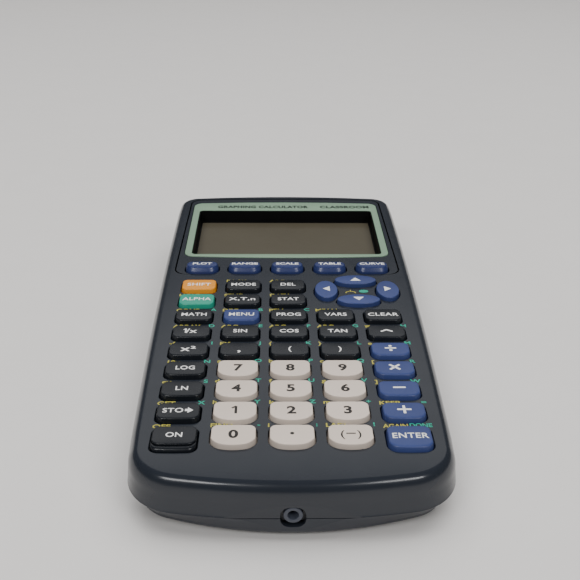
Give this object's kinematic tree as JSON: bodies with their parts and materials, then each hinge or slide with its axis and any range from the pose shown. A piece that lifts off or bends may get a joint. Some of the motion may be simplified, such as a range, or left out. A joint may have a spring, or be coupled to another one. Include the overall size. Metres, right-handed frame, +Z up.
{
  "type": "graphing calculator",
  "caption": "Wedge-shaped handheld graphing calculator with a green-framed display, separate sprung keys, a link jack in its near end and a cell cover underneath.",
  "frame": {"origin": "centre of the case's outer box on the surface it stands on", "axes": "+X to the user's right, +Y along the case towards the display, +Z up"},
  "size_m": [0.0846, 0.1837, 0.0223],
  "materials": {
    "front_shell": "fine satin texture, polished by use along the edges",
    "rear_shell": "fine spark texture",
    "green_frame": "painted satin",
    "display_glass": "grey green liquid crystal behind a clear pane",
    "keypad_rubber": "silicone",
    "board": "green solder mask",
    "cover": "fine spark texture",
    "cell_metal": "printed sleeve on a metal can",
    "contact_metal": "nickel plated",
    "screw_metal": "blackened",
    "graph_key": "satin moulded, printed legend",
    "blue_key": "satin moulded, printed legend",
    "number_key": "satin moulded, printed legend",
    "orange_key": "satin moulded, printed legend",
    "green_key": "satin moulded, printed legend",
    "dark_key": "satin moulded, printed legend"
  },
  "bodies": {
    "case": {"front_case": "front_shell", "rear_case": "rear_shell", "display_window": "green_frame", "lcd_module": "display_glass", "rubber_keypad": "keypad_rubber", "circuit_board": "board", "batteries": "cell_metal", "battery_contacts": "contact_metal", "screws": "screw_metal"},
    "cell_cover": {"battery_cover": "cover"},
    "key_graph_1": {"key_graph_1": "graph_key"},
    "key_graph_2": {"key_graph_2": "graph_key"},
    "key_graph_3": {"key_graph_3": "graph_key"},
    "key_graph_4": {"key_graph_4": "graph_key"},
    "key_graph_5": {"key_graph_5": "graph_key"},
    "key_second": {"key_second": "orange_key"},
    "key_mode": {"key_mode": "dark_key"},
    "key_del": {"key_del": "dark_key"},
    "key_alpha": {"key_alpha": "green_key"},
    "key_variable": {"key_variable": "dark_key"},
    "key_stat": {"key_stat": "dark_key"},
    "key_up": {"key_up": "blue_key"},
    "key_left": {"key_left": "blue_key"},
    "key_right": {"key_right": "blue_key"},
    "key_down": {"key_down": "blue_key"},
    "key_math": {"key_math": "dark_key"},
    "key_apps": {"key_apps": "blue_key"},
    "key_prgm": {"key_prgm": "dark_key"},
    "key_vars": {"key_vars": "dark_key"},
    "key_clear": {"key_clear": "dark_key"},
    "key_reciprocal": {"key_reciprocal": "dark_key"},
    "key_sin": {"key_sin": "dark_key"},
    "key_cos": {"key_cos": "dark_key"},
    "key_tan": {"key_tan": "dark_key"},
    "key_power": {"key_power": "dark_key"},
    "key_square": {"key_square": "dark_key"},
    "key_comma": {"key_comma": "dark_key"},
    "key_paren_open": {"key_paren_open": "dark_key"},
    "key_paren_close": {"key_paren_close": "dark_key"},
    "key_divide": {"key_divide": "blue_key"},
    "key_log": {"key_log": "dark_key"},
    "key_7": {"key_7": "number_key"},
    "key_8": {"key_8": "number_key"},
    "key_9": {"key_9": "number_key"},
    "key_multiply": {"key_multiply": "blue_key"},
    "key_ln": {"key_ln": "dark_key"},
    "key_4": {"key_4": "number_key"},
    "key_5": {"key_5": "number_key"},
    "key_6": {"key_6": "number_key"},
    "key_minus": {"key_minus": "blue_key"},
    "key_store": {"key_store": "dark_key"},
    "key_1": {"key_1": "number_key"},
    "key_2": {"key_2": "number_key"},
    "key_3": {"key_3": "number_key"},
    "key_plus": {"key_plus": "blue_key"},
    "key_on": {"key_on": "dark_key"},
    "key_0": {"key_0": "number_key"},
    "key_point": {"key_point": "number_key"},
    "key_negative": {"key_negative": "number_key"},
    "key_enter": {"key_enter": "blue_key"}
  },
  "joints": [
    {"name": "cell_cover_hinge", "type": "hinge", "parent": "case", "child": "cell_cover", "pos_m": [0, 0.0348, 0.0008], "axis": [-1, 0, 0], "range_deg": [0, 60]},
    {"name": "press_graph_1", "type": "slide", "parent": "case", "child": "key_graph_1", "axis": [0, 0.0349, -0.9994], "range_m": [0, 0.0012], "stiffness_N_per_m": 500},
    {"name": "press_graph_2", "type": "slide", "parent": "case", "child": "key_graph_2", "axis": [0, 0.0349, -0.9994], "range_m": [0, 0.0012], "stiffness_N_per_m": 500},
    {"name": "press_graph_3", "type": "slide", "parent": "case", "child": "key_graph_3", "axis": [0, 0.0349, -0.9994], "range_m": [0, 0.0012], "stiffness_N_per_m": 500},
    {"name": "press_graph_4", "type": "slide", "parent": "case", "child": "key_graph_4", "axis": [0, 0.0349, -0.9994], "range_m": [0, 0.0012], "stiffness_N_per_m": 500},
    {"name": "press_graph_5", "type": "slide", "parent": "case", "child": "key_graph_5", "axis": [0, 0.0349, -0.9994], "range_m": [0, 0.0012], "stiffness_N_per_m": 500},
    {"name": "press_second", "type": "slide", "parent": "case", "child": "key_second", "axis": [0, 0.0349, -0.9994], "range_m": [0, 0.0012], "stiffness_N_per_m": 500},
    {"name": "press_mode", "type": "slide", "parent": "case", "child": "key_mode", "axis": [0, 0.0349, -0.9994], "range_m": [0, 0.0012], "stiffness_N_per_m": 500},
    {"name": "press_del", "type": "slide", "parent": "case", "child": "key_del", "axis": [0, 0.0349, -0.9994], "range_m": [0, 0.0012], "stiffness_N_per_m": 500},
    {"name": "press_alpha", "type": "slide", "parent": "case", "child": "key_alpha", "axis": [0, 0.0349, -0.9994], "range_m": [0, 0.0012], "stiffness_N_per_m": 500},
    {"name": "press_variable", "type": "slide", "parent": "case", "child": "key_variable", "axis": [0, 0.0349, -0.9994], "range_m": [0, 0.0012], "stiffness_N_per_m": 500},
    {"name": "press_stat", "type": "slide", "parent": "case", "child": "key_stat", "axis": [0, 0.0349, -0.9994], "range_m": [0, 0.0012], "stiffness_N_per_m": 500},
    {"name": "press_up", "type": "slide", "parent": "case", "child": "key_up", "axis": [0, 0.0349, -0.9994], "range_m": [0, 0.0012], "stiffness_N_per_m": 500},
    {"name": "press_left", "type": "slide", "parent": "case", "child": "key_left", "axis": [0, 0.0349, -0.9994], "range_m": [0, 0.0012], "stiffness_N_per_m": 500},
    {"name": "press_right", "type": "slide", "parent": "case", "child": "key_right", "axis": [0, 0.0349, -0.9994], "range_m": [0, 0.0012], "stiffness_N_per_m": 500},
    {"name": "press_down", "type": "slide", "parent": "case", "child": "key_down", "axis": [0, 0.0349, -0.9994], "range_m": [0, 0.0012], "stiffness_N_per_m": 500},
    {"name": "press_math", "type": "slide", "parent": "case", "child": "key_math", "axis": [0, 0.0349, -0.9994], "range_m": [0, 0.0012], "stiffness_N_per_m": 500},
    {"name": "press_apps", "type": "slide", "parent": "case", "child": "key_apps", "axis": [0, 0.0349, -0.9994], "range_m": [0, 0.0012], "stiffness_N_per_m": 500},
    {"name": "press_prgm", "type": "slide", "parent": "case", "child": "key_prgm", "axis": [0, 0.0349, -0.9994], "range_m": [0, 0.0012], "stiffness_N_per_m": 500},
    {"name": "press_vars", "type": "slide", "parent": "case", "child": "key_vars", "axis": [0, 0.0349, -0.9994], "range_m": [0, 0.0012], "stiffness_N_per_m": 500},
    {"name": "press_clear", "type": "slide", "parent": "case", "child": "key_clear", "axis": [0, 0.0349, -0.9994], "range_m": [0, 0.0012], "stiffness_N_per_m": 500},
    {"name": "press_reciprocal", "type": "slide", "parent": "case", "child": "key_reciprocal", "axis": [0, 0.0349, -0.9994], "range_m": [0, 0.0012], "stiffness_N_per_m": 500},
    {"name": "press_sin", "type": "slide", "parent": "case", "child": "key_sin", "axis": [0, 0.0349, -0.9994], "range_m": [0, 0.0012], "stiffness_N_per_m": 500},
    {"name": "press_cos", "type": "slide", "parent": "case", "child": "key_cos", "axis": [0, 0.0349, -0.9994], "range_m": [0, 0.0012], "stiffness_N_per_m": 500},
    {"name": "press_tan", "type": "slide", "parent": "case", "child": "key_tan", "axis": [0, 0.0349, -0.9994], "range_m": [0, 0.0012], "stiffness_N_per_m": 500},
    {"name": "press_power", "type": "slide", "parent": "case", "child": "key_power", "axis": [0, 0.0349, -0.9994], "range_m": [0, 0.0012], "stiffness_N_per_m": 500},
    {"name": "press_square", "type": "slide", "parent": "case", "child": "key_square", "axis": [0, 0.0349, -0.9994], "range_m": [0, 0.0012], "stiffness_N_per_m": 500},
    {"name": "press_comma", "type": "slide", "parent": "case", "child": "key_comma", "axis": [0, 0.0349, -0.9994], "range_m": [0, 0.0012], "stiffness_N_per_m": 500},
    {"name": "press_paren_open", "type": "slide", "parent": "case", "child": "key_paren_open", "axis": [0, 0.0349, -0.9994], "range_m": [0, 0.0012], "stiffness_N_per_m": 500},
    {"name": "press_paren_close", "type": "slide", "parent": "case", "child": "key_paren_close", "axis": [0, 0.0349, -0.9994], "range_m": [0, 0.0012], "stiffness_N_per_m": 500},
    {"name": "press_divide", "type": "slide", "parent": "case", "child": "key_divide", "axis": [0, 0.0349, -0.9994], "range_m": [0, 0.0012], "stiffness_N_per_m": 500},
    {"name": "press_log", "type": "slide", "parent": "case", "child": "key_log", "axis": [0, 0.0349, -0.9994], "range_m": [0, 0.0012], "stiffness_N_per_m": 500},
    {"name": "press_7", "type": "slide", "parent": "case", "child": "key_7", "axis": [0, 0.0349, -0.9994], "range_m": [0, 0.0012], "stiffness_N_per_m": 500},
    {"name": "press_8", "type": "slide", "parent": "case", "child": "key_8", "axis": [0, 0.0349, -0.9994], "range_m": [0, 0.0012], "stiffness_N_per_m": 500},
    {"name": "press_9", "type": "slide", "parent": "case", "child": "key_9", "axis": [0, 0.0349, -0.9994], "range_m": [0, 0.0012], "stiffness_N_per_m": 500},
    {"name": "press_multiply", "type": "slide", "parent": "case", "child": "key_multiply", "axis": [0, 0.0349, -0.9994], "range_m": [0, 0.0012], "stiffness_N_per_m": 500},
    {"name": "press_ln", "type": "slide", "parent": "case", "child": "key_ln", "axis": [0, 0.0349, -0.9994], "range_m": [0, 0.0012], "stiffness_N_per_m": 500},
    {"name": "press_4", "type": "slide", "parent": "case", "child": "key_4", "axis": [0, 0.0349, -0.9994], "range_m": [0, 0.0012], "stiffness_N_per_m": 500},
    {"name": "press_5", "type": "slide", "parent": "case", "child": "key_5", "axis": [0, 0.0349, -0.9994], "range_m": [0, 0.0012], "stiffness_N_per_m": 500},
    {"name": "press_6", "type": "slide", "parent": "case", "child": "key_6", "axis": [0, 0.0349, -0.9994], "range_m": [0, 0.0012], "stiffness_N_per_m": 500},
    {"name": "press_minus", "type": "slide", "parent": "case", "child": "key_minus", "axis": [0, 0.0349, -0.9994], "range_m": [0, 0.0012], "stiffness_N_per_m": 500},
    {"name": "press_store", "type": "slide", "parent": "case", "child": "key_store", "axis": [0, 0.0349, -0.9994], "range_m": [0, 0.0012], "stiffness_N_per_m": 500},
    {"name": "press_1", "type": "slide", "parent": "case", "child": "key_1", "axis": [0, 0.0349, -0.9994], "range_m": [0, 0.0012], "stiffness_N_per_m": 500},
    {"name": "press_2", "type": "slide", "parent": "case", "child": "key_2", "axis": [0, 0.0349, -0.9994], "range_m": [0, 0.0012], "stiffness_N_per_m": 500},
    {"name": "press_3", "type": "slide", "parent": "case", "child": "key_3", "axis": [0, 0.0349, -0.9994], "range_m": [0, 0.0012], "stiffness_N_per_m": 500},
    {"name": "press_plus", "type": "slide", "parent": "case", "child": "key_plus", "axis": [0, 0.0349, -0.9994], "range_m": [0, 0.0012], "stiffness_N_per_m": 500},
    {"name": "press_on", "type": "slide", "parent": "case", "child": "key_on", "axis": [0, 0.0349, -0.9994], "range_m": [0, 0.0012], "stiffness_N_per_m": 500},
    {"name": "press_0", "type": "slide", "parent": "case", "child": "key_0", "axis": [0, 0.0349, -0.9994], "range_m": [0, 0.0012], "stiffness_N_per_m": 500},
    {"name": "press_point", "type": "slide", "parent": "case", "child": "key_point", "axis": [0, 0.0349, -0.9994], "range_m": [0, 0.0012], "stiffness_N_per_m": 500},
    {"name": "press_negative", "type": "slide", "parent": "case", "child": "key_negative", "axis": [0, 0.0349, -0.9994], "range_m": [0, 0.0012], "stiffness_N_per_m": 500},
    {"name": "press_enter", "type": "slide", "parent": "case", "child": "key_enter", "axis": [0, 0.0349, -0.9994], "range_m": [0, 0.0012], "stiffness_N_per_m": 500}
  ]
}
